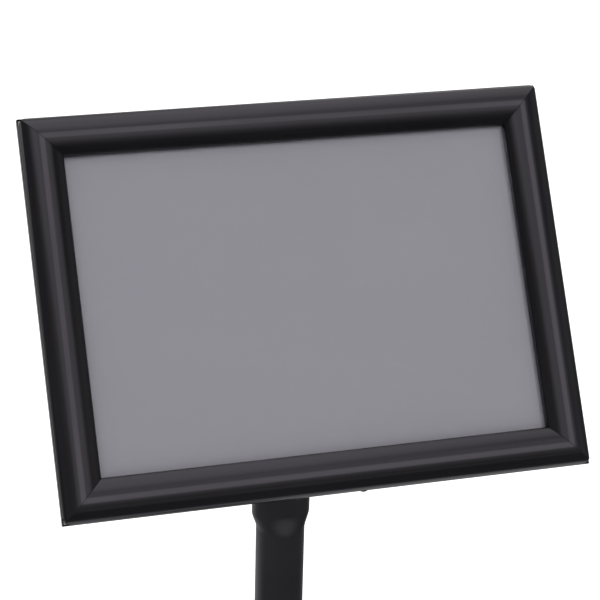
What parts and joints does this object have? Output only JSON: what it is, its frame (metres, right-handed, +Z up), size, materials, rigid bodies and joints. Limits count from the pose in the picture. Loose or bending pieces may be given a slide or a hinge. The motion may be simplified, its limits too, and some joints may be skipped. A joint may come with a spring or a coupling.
{
  "type": "sign stand",
  "caption": "Free-standing sign stand with a tilting landscape snap frame on a height-adjustable round mast and a round base plate.",
  "frame": {"origin": "on the floor, on the mast's axis, which is the middle of the base plate", "axes": "+Z up along the mast, +X to the reader's right, -Y towards the reader"},
  "size_m": [0.327, 0.3, 1.1049],
  "materials": {
    "powder_coated_steel": "satin black powder coat",
    "anodised_profile": "satin black",
    "moulded_plastic": "fine textured black",
    "nylon": "matt dark grey",
    "zinc_steel": "zinc plated",
    "brass": "turned",
    "spring_steel": "blued",
    "foot_rubber": "matt",
    "grey_backboard": "matt",
    "blank_insert": "matt card",
    "clear_film": "clear anti-glare"
  },
  "bodies": {
    "base": {"base_plate": "powder_coated_steel", "rubber_feet": "foot_rubber", "foot_screw": "zinc_steel", "foot_plug": "zinc_steel", "locating_pin": "zinc_steel", "foot_trim": "moulded_plastic", "lower_tube": "powder_coated_steel", "guide_bush": "nylon", "clamp_collar": "moulded_plastic", "grub_screws": "zinc_steel"},
    "clamp_pad": {"clamp_pad": "brass"},
    "clamp_knob": {"clamp_knob": "moulded_plastic", "clamp_stud": "zinc_steel"},
    "mast": {"upper_tube": "powder_coated_steel", "mast_glide": "nylon", "head_plug": "moulded_plastic", "saddle_washers": "nylon"},
    "tilt_bracket": {"tilt_bracket": "powder_coated_steel", "tilt_bolt": "zinc_steel"},
    "tilt_washer": {"tilt_washer": "zinc_steel"},
    "tilt_knob": {"tilt_knob": "moulded_plastic", "tilt_knob_insert": "brass"},
    "sign_frame": {"cross_bar": "powder_coated_steel", "bar_rivets": "powder_coated_steel", "turn_stud": "zinc_steel", "friction_disc": "nylon", "turn_washer": "zinc_steel", "turn_nut": "zinc_steel", "top_base_profile": "anodised_profile", "bottom_base_profile": "anodised_profile", "left_base_profile": "anodised_profile", "right_base_profile": "anodised_profile", "corner_keys": "zinc_steel", "back_panel": "grey_backboard", "insert_sheet": "blank_insert", "clear_cover": "clear_film", "top_springs": "spring_steel", "bottom_springs": "spring_steel", "left_springs": "spring_steel", "right_springs": "spring_steel"},
    "top_rail": {"top_rail": "anodised_profile"},
    "bottom_rail": {"bottom_rail": "anodised_profile"},
    "left_rail": {"left_rail": "anodised_profile"},
    "right_rail": {"right_rail": "anodised_profile"}
  },
  "joints": [
    {"name": "mast_slide", "type": "slide", "parent": "base", "child": "mast", "axis": [0, 0, 1], "range_m": [-0.12, 0.22]},
    {"name": "clamp_pad_slide", "type": "slide", "parent": "base", "child": "clamp_pad", "axis": [1, 0, 0], "range_m": [0, 0.0026]},
    {"name": "clamp_knob_turn", "type": "hinge", "parent": "clamp_pad", "child": "clamp_knob", "pos_m": [0, 0, 0.666], "axis": [1, 0, 0], "range_deg": [0, 720]},
    {"name": "tilt", "type": "hinge", "parent": "mast", "child": "tilt_bracket", "pos_m": [0, 0, 1.007], "axis": [-1, 0, 0], "range_deg": [-32, 58]},
    {"name": "tilt_washer_slide", "type": "slide", "parent": "tilt_bracket", "child": "tilt_washer", "axis": [1, 0, 0], "range_m": [0, 0.0026]},
    {"name": "tilt_knob_turn", "type": "hinge", "parent": "tilt_washer", "child": "tilt_knob", "pos_m": [0, 0, 1.007], "axis": [1, 0, 0], "range_deg": [0, 720]},
    {"name": "frame_turn", "type": "hinge", "parent": "tilt_bracket", "child": "sign_frame", "pos_m": [0, -0.04696, 0.99979], "axis": [0, -0.848, 0.5299], "range_deg": [0, 90]},
    {"name": "top_rail_open", "type": "hinge", "parent": "sign_frame", "child": "top_rail", "pos_m": [0, 0.01009, 1.10222], "axis": [-1, 0, 0], "range_deg": [0, 85], "deforming": ["top_springs"]},
    {"name": "bottom_rail_open", "type": "hinge", "parent": "sign_frame", "child": "bottom_rail", "pos_m": [0, -0.11401, 0.90361], "axis": [1, 0, 0], "range_deg": [0, 85], "deforming": ["bottom_springs"]},
    {"name": "left_rail_open", "type": "hinge", "parent": "sign_frame", "child": "left_rail", "pos_m": [-0.1606, -0.05196, 1.00291], "axis": [0, -0.5299, -0.848], "range_deg": [0, 85], "deforming": ["left_springs"]},
    {"name": "right_rail_open", "type": "hinge", "parent": "sign_frame", "child": "right_rail", "pos_m": [0.1606, -0.05196, 1.00291], "axis": [0, 0.5299, 0.848], "range_deg": [0, 85], "deforming": ["right_springs"]}
  ],
  "couplings": [
    {"joint": "clamp_pad_slide", "follows": "clamp_knob_turn", "m_per_rad": 0.00019894},
    {"joint": "tilt_washer_slide", "follows": "tilt_knob_turn", "m_per_rad": 0.00019894}
  ]
}
